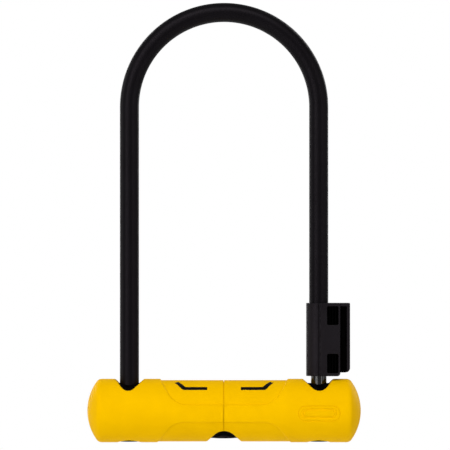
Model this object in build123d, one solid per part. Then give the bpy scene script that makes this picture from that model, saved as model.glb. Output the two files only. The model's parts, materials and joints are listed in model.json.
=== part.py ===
from build123d import *
import math
import os

# U lock, standing upright: crossbar along X at the bottom, shackle rising along +Z, front facing -Y.
# Everything is modelled with the crossbar axis at Z = 0 and lifted by COVER_R when it is written.

# --- driving dimensions, mm ---
COVER_R = 20.35
COVER_HALF_LENGTH = 87.75
DOME_R = 32.1
DOME_FILLET = 4.0
COVER_BORE_R = 17.62
COVER_BORE_HALF = 81.0
SEAM_X = -0.2
SEAM_GAP = 0.25
PANEL_TOP_R = 19.5
PANEL_TOP_EDGE_Z = 4.4
PANEL_TOP_X = (31.4, 41.0)
PANEL_TOP_BEND = 14.5
PANEL_BOTTOM_R = 19.8
PANEL_BOTTOM_EDGE_Z = -6.6
PANEL_BOTTOM_X = (32.2, 42.8)
PANEL_BOTTOM_BEND = 14.0
SCOOP_LOWEST_Z = 13.2
SCOOP_INNER_DEG = 42.0
SCOOP_OUTER_DEG = 50.0
LEFT_SCOOP_SHIFT = -0.5
LEFT_SCOOP_BEND = 5.5
RIGHT_SCOOP_SHIFT = 0.2
RIGHT_SCOOP_BEND = 6.6
NOTCH_TOP_Z = -12.4
NOTCH_BEND = 9.0
INLAY_WIDTH = 2.9
INLAY_INNER_X = 10.8
INLAY_CORNER_X = 25.5
INLAY_END_X = 30.5
INLAY_HALF_SPAN = 3.7
INLAY_TILT_DEG = 60.5
INLAY_SINK = 0.05
BADGE_AT = (60.7, -1.0)
BADGE_SIZE = (26.6, 9.6)
BADGE_FLOOR_R = 19.5
BADGE_BORDER = 1.5
BADGE_LINE = 0.8
BADGE_LINE_DEPTH = 0.35
BADGE_FIELD = (20.4, 4.8)
BADGE_FIELD_LINE = 0.7

LEG_X = 60.75
CORE_R = 5.0
COAT_R = 6.15
ARCH_CENTRE_Z = 194.8
LEG_END_Z = -11.0
COAT_LEFT_END_Z = 12.5
COAT_RIGHT_END_Z = 25.0
RUNNING_GAP = 0.3

LINER_R = 17.6
LINER_BORE_R = 15.7
LINER_HALF = 80.0
TUBE_R = 15.65
TUBE_BORE_R = 12.6
TUBE_HALF = 78.0

BUSH_R = 7.2
BUSH_BOTTOM_Z = 9.5
BUSH_STEP_Z = 12.2
BASE_PLUG_R = 7.35
BASE_PLUG_FACE_Z = -19.7
BASE_PLUG_TOP_Z = -7.0
BASE_SOCKET_Z = -11.6

END_PLUG_R = 12.55
END_PLUG_X = (70.0, 77.9)
ROLL_PIN_R = 1.5

TURN_DEG = 90.0
PIN_CIRCLE_R = 4.0
DRIVE_PIN_R = 1.4
DRIVE_PIN_TOP_Z = 7.4
BOLT_R = 4.5
BOLT_TIP_X = 55.0
BOLT_ROD_X = 14.0
BOLT_RISER_END_X = 20.0
BOLT_TAIL_Y = (0.3, 7.2)
BOLT_TAIL_Z = (4.6, 7.6)
BOLT_TAIL_END_X = 7.2
DRIVE_SLOT_HALF = 1.75
GUIDE_R = 12.55
GUIDE_X = (27.0, 52.0)
SLIDE_FIT = 0.06

HOUSING_R = 7.9
HOUSING_Z = (-16.2, 1.2)
HOUSING_BORE_R = 6.05
HOUSING_LIP_R = 4.6
HOUSING_LIP_Z = -15.0
HOUSING_NOSE_R = 7.2
BEZEL_R = 7.9
BEZEL_FACE_Z = -17.5
BEZEL_RIM_Z = -15.2
BEZEL_MOUTH_R = 4.2
ROTOR_R = 6.0
ROTOR_Z = (-14.9, 0.0)
ROTOR_CAVITY_R = 4.9
ROTOR_CAVITY_Z = (-13.6, -1.4)
ROTOR_NECK_R = 4.4
TANG_SIDE = 4.9
TANG_TOP_Z = 4.1
CAM_R = 7.4
CAM_Z = (1.5, 4.2)
RING_Z = (0.15, 0.95)
RING_R = (4.8, 7.0)
DISC_COUNT = 8
DISC_THICKNESS = 1.1
DISC_PITCH = 1.5
KEYWAY = (2.6, 6.4)
SIDEBAR_WIDTH = 1.6
SIDEBAR_Y = (4.0, 5.9)
CYLINDER_PIN_R = 1.25
CYLINDER_PIN_AT = (8.4, -8.0)

ADAPTER_Z = (22.3, 69.0)
SLEEVE_R = 8.06
GRIP_R = 6.65
PLATE_END_X = 13.7
WINDOW_X = (5.2, 12.5)
WINDOW_DEPTH = 6.2
UPPER_WINDOW_Z = (55.1, 67.1)
LOWER_WINDOW_Z = (24.2, 36.6)
NECK_X = 17.85
NECK_HALF_Y = 3.0
FLANGE_X = 19.9
FLANGE_BOTTOM_Z = 24.5
RAIL_FOOT_BEND = 3.2
ADAPTER_LIP = 2.6
RAIL_TONGUE_X = 11.0
RAIL_FRAME = 1.9
SCREW_X = 8.4
SCREW_Z = (41.6, 50.1)
SCREW_R = 1.25
SCREW_HEAD_R = 2.6
SCREW_HEAD_DEPTH = 2.2

FIT = 0.05
FAR = 60.0


def x_tube(radius, x0, x1, bore=0.0):
    """A round bar, or a tube, along X."""
    bar = Pos((x0 + x1) / 2, 0, 0) * Rot(0, 90, 0) * Cylinder(radius, x1 - x0)
    if bore:
        bar -= Pos((x0 + x1) / 2, 0, 0) * Rot(0, 90, 0) * Cylinder(bore, x1 - x0)
    return bar


def z_tube(radius, z0, z1, x=0.0, bore=0.0):
    """A round bar, or a tube, along Z."""
    bar = Pos(x, 0, (z0 + z1) / 2) * Cylinder(radius, z1 - z0)
    if bore:
        bar -= Pos(x, 0, (z0 + z1) / 2) * Cylinder(bore, z1 - z0)
    return bar


def block(x, y, z):
    """A box between two limits on each axis."""
    centre = Pos(sum(x) / 2, sum(y) / 2, sum(z) / 2)
    return centre * Box(x[1] - x[0], y[1] - y[0], z[1] - z[0])


def y_prism(corners, radii, y=(-FAR, FAR)):
    """A prism along Y whose outline is a closed polyline in the X-Z plane with rounded corners."""
    plane = Plane((0, y[0], 0), x_dir=(1, 0, 0), z_dir=(0, -1, 0))
    outline = FilletPolyline(*[(px, pz) for px, pz in corners], radius=radii, close=True)
    face = plane * make_face(outline.edges())
    return extrude(face, amount=y[1] - y[0], dir=(0, 1, 0))


def turned_half(part):
    """The same piece for the other side, half a turn about Z."""
    return Rot(0, 0, 180) * part


# --- crossbar skin ---

def cover_blank():
    """The full outside of the crossbar: a bar with domed ends."""
    dome_centre = COVER_HALF_LENGTH - DOME_R
    edge_x = dome_centre + math.sqrt(DOME_R ** 2 - COVER_R ** 2)
    arc_angle = math.asin(COVER_R / DOME_R) / 2
    middle_x = dome_centre + DOME_R * math.cos(arc_angle)
    middle_z = DOME_R * math.sin(arc_angle)
    outline = [
        Line((-edge_x, COVER_R), (edge_x, COVER_R)),
        Line((-COVER_HALF_LENGTH, 0), (COVER_HALF_LENGTH, 0)),
    ]
    for side in (-1, 1):
        ends = ((side * edge_x, COVER_R), (side * middle_x, middle_z), (side * COVER_HALF_LENGTH, 0))
        outline.append(ThreePointArc(*ends))
    profile = make_face([edge for line in outline for edge in line.edges()])
    rims = [(side * edge_x, COVER_R) for side in (-1, 1)]
    shoulders = [profile.vertices().sort_by_distance(rim)[0] for rim in rims]
    return revolve(fillet(shoulders, DOME_FILLET), axis=Axis.X)


def waist_panels():
    """The two shallow panels around the middle, one over the top and one under the bottom."""
    beyond = COVER_R + 10.0
    skin = x_tube(COVER_R + 2.0, -LEG_X, LEG_X)
    panels = []
    for edge_z, (corner_x, end_x), bend, radius in (
        (PANEL_TOP_EDGE_Z, PANEL_TOP_X, PANEL_TOP_BEND, PANEL_TOP_R),
        (PANEL_BOTTOM_EDGE_Z, PANEL_BOTTOM_X, PANEL_BOTTOM_BEND, PANEL_BOTTOM_R),
    ):
        way = math.copysign(1.0, edge_z)
        rim_z = way * COVER_R
        corners = [
            (-corner_x, edge_z),
            (corner_x, edge_z),
            (end_x, rim_z),
            (end_x, way * beyond),
            (-end_x, way * beyond),
            (-end_x, rim_z),
        ]
        prism = y_prism(corners, [bend, bend, 0, 0, 0, 0])
        panels.append(prism & (skin - x_tube(radius, -LEG_X - 1, LEG_X + 1)))
    return panels


def scoop(centre_x, outward, bend):
    """The cut across the top of the cover where a leg goes in."""
    inner, outer = math.radians(SCOOP_INNER_DEG), math.radians(SCOOP_OUTER_DEG)
    centre_z = SCOOP_LOWEST_Z + bend
    sines = 1 / math.sin(inner) + 1 / math.sin(outer)
    drop = bend * sines / (1 / math.tan(inner) + 1 / math.tan(outer))
    apex_z = centre_z - drop
    apex_x = (bend - drop * math.cos(inner)) / math.sin(inner)
    rise = 25.0
    corners = [
        (centre_x - outward * (apex_x + rise / math.tan(inner)), apex_z + rise),
        (centre_x - outward * apex_x, apex_z),
        (centre_x - outward * (apex_x - rise / math.tan(outer)), apex_z + rise),
    ]
    return y_prism(corners, [0, bend, 0])


def key_notch():
    """The flared arch under the middle, in front of the keyway."""
    apex_z = NOTCH_TOP_Z + NOTCH_BEND * (math.sqrt(2) - 1)
    drop = 25.0
    corners = [(0, apex_z), (drop, apex_z - drop), (-drop, apex_z - drop)]
    return y_prism(corners, [NOTCH_BEND, 0, 0])


def inlay_outline(width, inner_x):
    """The bent strip of one inlay, in the plane tangent to its place on the cover."""
    span = INLAY_HALF_SPAN
    slope = math.atan2(2 * span, INLAY_END_X - INLAY_CORNER_X)
    half = width / 2
    mitre = half * math.tan(slope / 2)
    across = (half * math.sin(slope), half * math.cos(slope))
    corners = [
        (inner_x, -span - half),
        (INLAY_CORNER_X + mitre, -span - half),
        (INLAY_END_X + across[0], span - across[1]),
        (INLAY_END_X - across[0], span + across[1]),
        (INLAY_CORNER_X - mitre, -span + half),
        (inner_x, -span + half),
    ]
    end_bend, outer_bend, inner_bend = 0.25, 2.6, 1.2
    bends = [end_bend, outer_bend, end_bend, end_bend, inner_bend, end_bend]
    return FilletPolyline(*corners, radius=bends, close=True)


def inlay_prisms(width, inner_x):
    """The four inlays' places: left and right, front and back."""
    tilt = math.radians(INLAY_TILT_DEG)
    normal = (0, -math.cos(tilt), math.sin(tilt))
    plane = Plane((0, 0, 0), x_dir=(1, 0, 0), z_dir=normal)
    face = plane * make_face(inlay_outline(width, inner_x).edges())
    strip = extrude(face, amount=COVER_R + 2, dir=normal)
    front = [strip, mirror(strip, about=Plane.YZ)]
    return front + [turned_half(piece) for piece in front]


def pill(length, height, centre):
    """A pill-shaped prism through the front of the cover."""
    plane = Plane((centre[0], 0, centre[1]), x_dir=(1, 0, 0), z_dir=(0, -1, 0))
    return extrude(plane * SlotOverall(length, height), amount=COVER_R + 2, dir=(0, -1, 0))


def covers():
    """The two yellow halves, which meet in the middle."""
    shell = cover_blank() - x_tube(COVER_BORE_R, -COVER_BORE_HALF, COVER_BORE_HALF)
    for panel in waist_panels():
        shell -= panel
    shell -= scoop(-LEG_X + LEFT_SCOOP_SHIFT, -1, LEFT_SCOOP_BEND)
    shell -= scoop(LEG_X + RIGHT_SCOOP_SHIFT, 1, RIGHT_SCOOP_BEND)
    shell -= key_notch()
    shell -= z_tube(BEZEL_R + RUNNING_GAP, -FAR, 0)
    for x in (-LEG_X, LEG_X):
        shell -= z_tube(BASE_PLUG_R + FIT, -FAR, 0, x)
        shell -= z_tube(BUSH_R + FIT, 0, FAR, x)
    for place in inlay_prisms(INLAY_WIDTH, INLAY_INNER_X):
        shell -= place
    badge_pocket = pill(*BADGE_SIZE, BADGE_AT) - x_tube(BADGE_FLOOR_R, 0, FAR * 2)
    shell -= badge_pocket
    left = shell - block((SEAM_X - SEAM_GAP / 2, FAR * 2), (-FAR, FAR), (-FAR, FAR))
    right = shell - block((-FAR * 2, SEAM_X + SEAM_GAP / 2), (-FAR, FAR), (-FAR, FAR))
    return left, right


def accent_inlays():
    """The black strips set into the covers, backed by the liner."""
    ring = x_tube(PANEL_TOP_R - INLAY_SINK, -LEG_X, LEG_X) - x_tube(LINER_R + FIT, -LEG_X - 1, LEG_X + 1)
    return [place & ring for place in inlay_prisms(INLAY_WIDTH - 2 * FIT, INLAY_INNER_X + FIT)]


def badge():
    """The blank outlined pill set flush into the right cover, with a plain outlined field inside it."""
    length, height = BADGE_SIZE
    field_length, field_height = BADGE_FIELD
    deep = x_tube(BADGE_FLOOR_R + FIT, -1, COVER_HALF_LENGTH + 1)
    shallow = x_tube(COVER_R - BADGE_LINE_DEPTH, -1, COVER_HALF_LENGTH + 1)
    ring = x_tube(COVER_R - 0.02, 0, COVER_HALF_LENGTH) - deep
    low = x_tube(COVER_R + 2, 0, COVER_HALF_LENGTH) - shallow
    plate = pill(length - 2 * FIT, height - 2 * FIT, BADGE_AT) & ring
    for outer_length, outer_height, line in (
        (length - 2 * BADGE_BORDER, height - 2 * BADGE_BORDER, BADGE_LINE),
        (field_length, field_height, BADGE_FIELD_LINE),
    ):
        groove = pill(outer_length, outer_height, BADGE_AT)
        groove -= pill(outer_length - 2 * line, outer_height - 2 * line, BADGE_AT)
        plate -= groove & low
    return plate


# --- crossbar inside ---

def leg_holes(radius, z0, z1):
    """Two round cuts along Z, one at each leg."""
    return z_tube(radius, z0, z1, -LEG_X) + z_tube(radius, z0, z1, LEG_X)


def liner_sleeve():
    """The black plastic sleeve between the covers and the steel tube."""
    sleeve = x_tube(LINER_R, -LINER_HALF, LINER_HALF, LINER_BORE_R)
    sleeve -= leg_holes(BUSH_R + FIT, 0, FAR)
    sleeve -= leg_holes(BASE_PLUG_R + FIT, -FAR, 0)
    return sleeve - z_tube(HOUSING_R + FIT, -FAR, 0)


def steel_tube():
    """The hardened tube that the locking parts sit in."""
    tube = x_tube(TUBE_R, -TUBE_HALF, TUBE_HALF, TUBE_BORE_R)
    tube -= leg_holes(BUSH_R + FIT, 0, FAR)
    tube -= leg_holes(BASE_PLUG_R + FIT, -FAR, 0)
    tube -= z_tube(HOUSING_R + FIT, -FAR, 0)
    for x in (-roll_pin_x(), roll_pin_x()):
        tube -= y_pin(ROLL_PIN_R + FIT, x, 0, TUBE_R + 1)
    return tube - y_pin(CYLINDER_PIN_R + FIT, *CYLINDER_PIN_AT, TUBE_R + 1)


def y_pin(radius, x, z, half_length):
    """A round pin along Y."""
    return Pos(x, 0, z) * Rot(90, 0, 0) * Cylinder(radius, 2 * half_length)


def roll_pin_x():
    """Where the roll pins cross the end plugs."""
    return sum(END_PLUG_X) / 2


def right_end_plug():
    """The steel plug that closes the tube's end, with a chamfered nose."""
    plug = x_tube(END_PLUG_R, *END_PLUG_X)
    plug = chamfer(plug.edges().filter_by(GeomType.CIRCLE), 0.8)
    return plug - y_pin(ROLL_PIN_R + FIT, roll_pin_x(), 0, END_PLUG_R + 1)


def end_roll_pins():
    """Hollow split pins that hold the end plugs."""
    pins = []
    for x in (-roll_pin_x(), roll_pin_x()):
        pin = y_pin(ROLL_PIN_R, x, 0, TUBE_R - 0.6) - y_pin(ROLL_PIN_R - 0.45, x, 0, TUBE_R)
        slit = 0.35
        pins.append(pin - block((x - slit / 2, x + slit / 2), (-FAR, FAR), (0, ROLL_PIN_R + 1)))
    return pins


def bush(x, mouth_r):
    """The plastic ring that guides a leg through the wall, its top flush with the liner."""
    ring = z_tube(BUSH_R, BUSH_BOTTOM_Z, FAR, x) & x_tube(LINER_R + 0.1, x - FAR / 2, x + FAR / 2)
    ring -= z_tube(CORE_R + RUNNING_GAP, 0, FAR, x)
    return ring - z_tube(mouth_r, BUSH_STEP_Z, FAR, x)


def base_plug(x):
    """The black plug under a leg, with the socket that its end sits in."""
    body = z_tube(BASE_PLUG_R, BASE_PLUG_FACE_Z, BASE_PLUG_TOP_Z, x)
    bottom_rim = body.edges().filter_by(GeomType.CIRCLE).sort_by(Axis.Z)[0]
    body = chamfer(bottom_rim, 0.5)
    return body - z_tube(CORE_R + RUNNING_GAP, BASE_SOCKET_Z, FAR, x)


def cylinder_housing():
    """The brass barrel of the lock cylinder, with the sidebar's groove and the pin's notch."""
    barrel = z_tube(HOUSING_R, BEZEL_RIM_Z + 0.02, HOUSING_Z[1])
    barrel += z_tube(HOUSING_NOSE_R, HOUSING_Z[0], BEZEL_RIM_Z + 1)
    barrel -= z_tube(HOUSING_LIP_R, -FAR, FAR)
    barrel -= z_tube(HOUSING_BORE_R, HOUSING_LIP_Z, FAR)
    barrel -= z_tube(RING_R[1] + FIT, RING_Z[0] - 0.1, RING_Z[1] + 0.1)
    half = SIDEBAR_WIDTH / 2 + 0.2
    barrel -= block((-half, half), (0, HOUSING_BORE_R + 0.9), ROTOR_CAVITY_Z)
    return barrel - y_pin(CYLINDER_PIN_R + FIT, *CYLINDER_PIN_AT, FAR)


def keyway_bezel():
    """The black cap over the barrel's nose, with the keyway's mouth in it."""
    cap = z_tube(BEZEL_R, BEZEL_FACE_Z, BEZEL_RIM_Z, bore=BEZEL_MOUTH_R)
    cap = chamfer(cap.edges().filter_by(GeomType.CIRCLE).sort_by(Axis.Z)[:2], 0.4)
    return cap - z_tube(HOUSING_NOSE_R + FIT, HOUSING_Z[0] - 0.02, FAR)


def housing_ring():
    """The open snap ring that keeps the rotor in its barrel."""
    ring = z_tube(RING_R[1], *RING_Z, bore=RING_R[0])
    return ring - block((-1.2, 1.2), (0, RING_R[1] + 1), (RING_Z[0] - 1, RING_Z[1] + 1))


def cylinder_pin():
    """The cross pin that keeps the barrel in the tube."""
    half_length = math.sqrt(TUBE_R ** 2 - CYLINDER_PIN_AT[1] ** 2) - 1.2
    return y_pin(CYLINDER_PIN_R, *CYLINDER_PIN_AT, half_length)


def bolt_guide():
    """The block in the right half of the tube that the bolt slides in."""
    guide = x_tube(GUIDE_R, *GUIDE_X, bore=BOLT_R + SLIDE_FIT)
    return chamfer(guide.edges().filter_by(GeomType.CIRCLE).sort_by(SortBy.RADIUS)[-2:], 0.6)


# --- turning parts of the cylinder ---

def keyway():
    """The slot the key goes in, through the rotor and every disc."""
    half_x, half_y = KEYWAY[0] / 2, KEYWAY[1] / 2
    return block((-half_x, half_x), (-half_y, half_y), (-FAR, ROTOR_CAVITY_Z[1]))


def sidebar_slot(gap):
    """The straight cut that the sidebar sits in."""
    half = SIDEBAR_WIDTH / 2 + gap
    return block((-half, half), (SIDEBAR_Y[0] - gap, ROTOR_R + 1), ROTOR_CAVITY_Z)


def rotor():
    """The turning core, hollow for the discs, with a neck and a square tang for the cam."""
    core = z_tube(ROTOR_R, *ROTOR_Z)
    core += z_tube(ROTOR_NECK_R, ROTOR_Z[1], CAM_Z[0] - 0.02)
    core -= z_tube(ROTOR_CAVITY_R, *ROTOR_CAVITY_Z)
    core -= sidebar_slot(0.04)
    core -= keyway()
    tang_height = TANG_TOP_Z - CAM_Z[0] + 0.5
    tang = Rot(0, 0, 45) * Box(TANG_SIDE, TANG_SIDE, tang_height)
    return core + Pos(0, 0, TANG_TOP_Z - tang_height / 2) * tang


def disc_levels():
    """The height of each disc's middle."""
    first = ROTOR_CAVITY_Z[0] + 0.2 + DISC_THICKNESS / 2
    return [first + i * DISC_PITCH for i in range(DISC_COUNT)]


def lock_discs():
    """The code discs, each with its keyway and a gate for the sidebar."""
    discs = []
    for z in disc_levels():
        disc = z_tube(ROTOR_CAVITY_R - FIT, z - DISC_THICKNESS / 2, z + DISC_THICKNESS / 2)
        discs.append(disc - keyway() - sidebar_slot(0.04))
    return discs


def disc_spacers():
    """The thin washers between the discs."""
    washers = []
    thickness = DISC_PITCH - DISC_THICKNESS - 0.06
    for z in disc_levels()[:-1]:
        middle = z + DISC_PITCH / 2
        washer = z_tube(ROTOR_CAVITY_R - FIT, middle - thickness / 2, middle + thickness / 2)
        washers.append(washer - keyway() - sidebar_slot(0.04))
    return washers


def sidebar():
    """The bar that drops into the discs' gates when the code is right."""
    half = SIDEBAR_WIDTH / 2
    bar = block((-half, half), SIDEBAR_Y, (ROTOR_CAVITY_Z[0] + 0.1, ROTOR_CAVITY_Z[1] - 0.1))
    return chamfer(bar.edges().filter_by(Axis.Z).sort_by(Axis.Y)[:2], 0.35)


def cam():
    """The driver on top of the rotor, whose two pins move the bolts."""
    plate = z_tube(CAM_R, *CAM_Z)
    plate -= Rot(0, 0, 45) * Box(TANG_SIDE + 2 * FIT, TANG_SIDE + 2 * FIT, FAR)
    for side in (1, -1):
        at = side * PIN_CIRCLE_R * math.sin(math.radians(TURN_DEG / 2))
        plate += Pos(at, at, (CAM_Z[1] + DRIVE_PIN_TOP_Z) / 2 - 0.25) * Cylinder(
            DRIVE_PIN_R, DRIVE_PIN_TOP_Z - CAM_Z[1] + 0.5
        )
    return plate


def right_bolt():
    """The right bolt: a round rod with a raised tail that one cam pin moves by an open slot."""
    rod = x_tube(BOLT_R, BOLT_ROD_X, BOLT_TIP_X)
    rod = chamfer(rod.edges().filter_by(GeomType.CIRCLE).sort_by(Axis.X)[-1], 0.7)
    tail_y = (-BOLT_TAIL_Y[1], -BOLT_TAIL_Y[0])
    riser = block((BOLT_ROD_X, BOLT_RISER_END_X), tail_y, (0, BOLT_TAIL_Z[1]))
    tail = block((-BOLT_TAIL_END_X, BOLT_RISER_END_X), tail_y, BOLT_TAIL_Z)
    pin_x = -PIN_CIRCLE_R * math.sin(math.radians(TURN_DEG / 2))
    slot_end_y = -PIN_CIRCLE_R - DRIVE_SLOT_HALF
    slot = block((pin_x - DRIVE_SLOT_HALF, pin_x + DRIVE_SLOT_HALF), (slot_end_y, 1), (0, FAR))
    return rod + riser + (tail - slot)


# --- shackle ---

def shackle_path(left_end, right_end):
    """The centreline of the shackle: up the left leg, over the arch and down the right leg."""
    left = Line((-LEG_X, 0, left_end), (-LEG_X, 0, ARCH_CENTRE_Z))
    arch = ThreePointArc(
        (-LEG_X, 0, ARCH_CENTRE_Z), (0, 0, ARCH_CENTRE_Z + LEG_X), (LEG_X, 0, ARCH_CENTRE_Z)
    )
    right = Line((LEG_X, 0, ARCH_CENTRE_Z), (LEG_X, 0, right_end))
    return Wire([*left.edges(), *arch.edges(), *right.edges()])


def bent_bar(radius, left_end, right_end, bore=0.0):
    """A round bar, or a tube, along the shackle's centreline."""
    section = Plane((-LEG_X, 0, left_end), z_dir=(0, 0, 1)) * Circle(radius)
    if bore:
        section -= Plane((-LEG_X, 0, left_end), z_dir=(0, 0, 1)) * Circle(bore)
    return sweep(section, path=shackle_path(left_end, right_end))


def shackle_bar():
    """The hardened bar, with chamfered ends and a notch in each leg for its bolt."""
    bar = bent_bar(CORE_R, LEG_END_Z, LEG_END_Z)
    ends = bar.edges().filter_by(GeomType.CIRCLE).sort_by(Axis.Z)[:2]
    bar = chamfer(ends, 1.2)
    half_height = BOLT_R + 0.35
    notch_x = (LEG_X - CORE_R - 1, LEG_X + 0.25)
    notch = block(notch_x, (-CORE_R - 1, CORE_R + 1), (-half_height, half_height))
    return bar - notch - turned_half(notch)


def coating():
    """The vinyl coat: down into the crossbar on the left, ending inside the adapter on the right."""
    return bent_bar(COAT_R, COAT_LEFT_END_Z, COAT_RIGHT_END_Z, bore=CORE_R + 0.01)


# --- adapter on the right leg ---

def adapter_blank():
    """The outside of the clamp: a round sleeve with a flat-sided body on its right."""
    sleeve = z_tube(SLEEVE_R, *ADAPTER_Z)
    body = block((0, PLATE_END_X), (-SLEEVE_R, SLEEVE_R), ADAPTER_Z)
    corner = body.edges().filter_by(Axis.Y).sort_by(Axis.X)[-2:].sort_by(Axis.Z)[0]
    return sleeve + fillet(corner, 2.0)


def adapter_halves():
    """The front and back halves of the clamp, with windows, the rail's slot and screw holes."""
    blank = adapter_blank()
    blank -= z_tube(GRIP_R + FIT, ADAPTER_Z[0] + ADAPTER_LIP, ADAPTER_Z[1] + 1)
    blank -= z_tube(CORE_R + RUNNING_GAP, 0, FAR * 2)
    for window_z in (UPPER_WINDOW_Z, LOWER_WINDOW_Z):
        for y in ((-SLEEVE_R - 1, -SLEEVE_R + WINDOW_DEPTH), (SLEEVE_R - WINDOW_DEPTH, SLEEVE_R + 1)):
            (x0, x1), (z0, z1) = WINDOW_X, window_z
            hole = block((x0, x1), y, (z0, z1))
            blank -= fillet(hole.edges().filter_by(Axis.Y), 0.9)
    blank -= block(
        (RAIL_TONGUE_X - FIT, FAR),
        (-NECK_HALF_Y + 1.0 - FIT, NECK_HALF_Y - 1.0 + FIT),
        (FLANGE_BOTTOM_Z + 2, ADAPTER_Z[1] - 2),
    )
    for z in SCREW_Z:
        blank -= Pos(SCREW_X, 0.5, z) * Rot(90, 0, 0) * Cylinder(SCREW_R + FIT, 12.0)
        head_hole = Cylinder(SCREW_HEAD_R + 0.15, 2 * SCREW_HEAD_DEPTH)
        blank -= Pos(SCREW_X, SLEEVE_R, z) * Rot(90, 0, 0) * head_hole
    split = 0.1
    front = blank & block((-FAR, FAR), (-FAR, -split / 2), (0, FAR * 2))
    back = blank & block((-FAR, FAR), (split / 2, FAR), (0, FAR * 2))
    return Pos(LEG_X, 0, 0) * front, Pos(LEG_X, 0, 0) * back


def adapter_rail():
    """The T-shaped rail: outer flange, neck with a catch, and the tongue held between the halves."""
    flange = block((NECK_X, FLANGE_X), (-SLEEVE_R, SLEEVE_R), (FLANGE_BOTTOM_Z, ADAPTER_Z[1]))
    corner = flange.edges().filter_by(Axis.X).sort_by(Axis.Z)[:2]
    flange = fillet(corner, 2.5)
    inner_x, top_z = PLATE_END_X + FIT, ADAPTER_Z[1]
    neck = block((inner_x, NECK_X), (-NECK_HALF_Y, NECK_HALF_Y), (FLANGE_BOTTOM_Z, top_z))
    foot_x, foot_z = FLANGE_X - RAIL_FOOT_BEND, FLANGE_BOTTOM_Z + RAIL_FOOT_BEND
    foot = block((foot_x, FAR), (-FAR, FAR), (0, foot_z))
    foot -= y_pin(RAIL_FOOT_BEND, foot_x, foot_z, FAR + 1)
    tongue_half = NECK_HALF_Y - 1.0
    tongue = block(
        (RAIL_TONGUE_X, inner_x),
        (-tongue_half, tongue_half),
        (FLANGE_BOTTOM_Z + 2 + FIT, ADAPTER_Z[1] - 2 - FIT),
    )
    cap = block((inner_x, NECK_X), (-SLEEVE_R, SLEEVE_R), (top_z - RAIL_FRAME, top_z))
    rail = (flange + neck - foot) + tongue + cap
    return Pos(LEG_X, 0, 0) * rail


def adapter_grip():
    """The rubber lining between the coat and the clamp."""
    low, high = ADAPTER_Z[0] + ADAPTER_LIP + FIT, ADAPTER_Z[1] - 0.3
    return z_tube(GRIP_R, low, high, LEG_X, bore=COAT_R + 0.01)


def adapter_screws():
    """The two clamp screws, put in from the back, with cross-slotted heads."""
    screws = []
    for z in SCREW_Z:
        shank = Pos(LEG_X + SCREW_X, 0.4, z) * Rot(90, 0, 0) * Cylinder(SCREW_R, 11.4)
        head_y = SLEEVE_R - SCREW_HEAD_DEPTH / 2 - 0.1
        head = Cylinder(SCREW_HEAD_R, SCREW_HEAD_DEPTH - 0.2)
        screw = shank + Pos(LEG_X + SCREW_X, head_y, z) * Rot(90, 0, 0) * head
        for size in ((3.2, 0.7), (0.7, 3.2)):
            slot = Pos(LEG_X + SCREW_X, SLEEVE_R, z) * Box(size[0], 2.4, size[1])
            screw -= slot
        screws.append(screw)
    return screws


def write(node, shape):
    """Lift a piece to the floor frame and write it as one named node."""
    pieces = shape if isinstance(shape, list) else [shape]
    solids = [solid for piece in pieces for solid in piece.solids()]
    whole = Compound([Pos(0, 0, COVER_R) * solid for solid in solids])
    whole.label = node
    export_step(whole, f"parts/{node}.step")


os.makedirs("parts", exist_ok=True)
left_cover, right_cover = covers()
adapter_front, adapter_back = adapter_halves()
nodes = {
    "left_cover": left_cover,
    "right_cover": right_cover,
    "accent_inlays": accent_inlays(),
    "badge": badge(),
    "liner_sleeve": liner_sleeve(),
    "steel_tube": steel_tube(),
    "left_end_plug": turned_half(right_end_plug()),
    "right_end_plug": right_end_plug(),
    "end_roll_pins": end_roll_pins(),
    "left_bush": bush(-LEG_X, COAT_R + RUNNING_GAP),
    "right_bush": bush(LEG_X, CORE_R + RUNNING_GAP),
    "left_base_plug": base_plug(-LEG_X),
    "right_base_plug": base_plug(LEG_X),
    "cylinder_housing": cylinder_housing(),
    "keyway_bezel": keyway_bezel(),
    "housing_ring": housing_ring(),
    "cylinder_pin": cylinder_pin(),
    "left_bolt_guide": turned_half(bolt_guide()),
    "right_bolt_guide": bolt_guide(),
    "rotor": rotor(),
    "lock_discs": lock_discs(),
    "disc_spacers": disc_spacers(),
    "sidebar": sidebar(),
    "cam": cam(),
    "left_bolt": turned_half(right_bolt()),
    "right_bolt": right_bolt(),
    "shackle_bar": shackle_bar(),
    "coating": coating(),
    "adapter_front": adapter_front,
    "adapter_back": adapter_back,
    "adapter_rail": adapter_rail(),
    "adapter_grip": adapter_grip(),
    "adapter_screws": adapter_screws(),
}
for node, shape in nodes.items():
    write(node, shape)
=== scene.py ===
import json
import math

import bmesh
import bpy
from mathutils import Matrix, Vector


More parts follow.
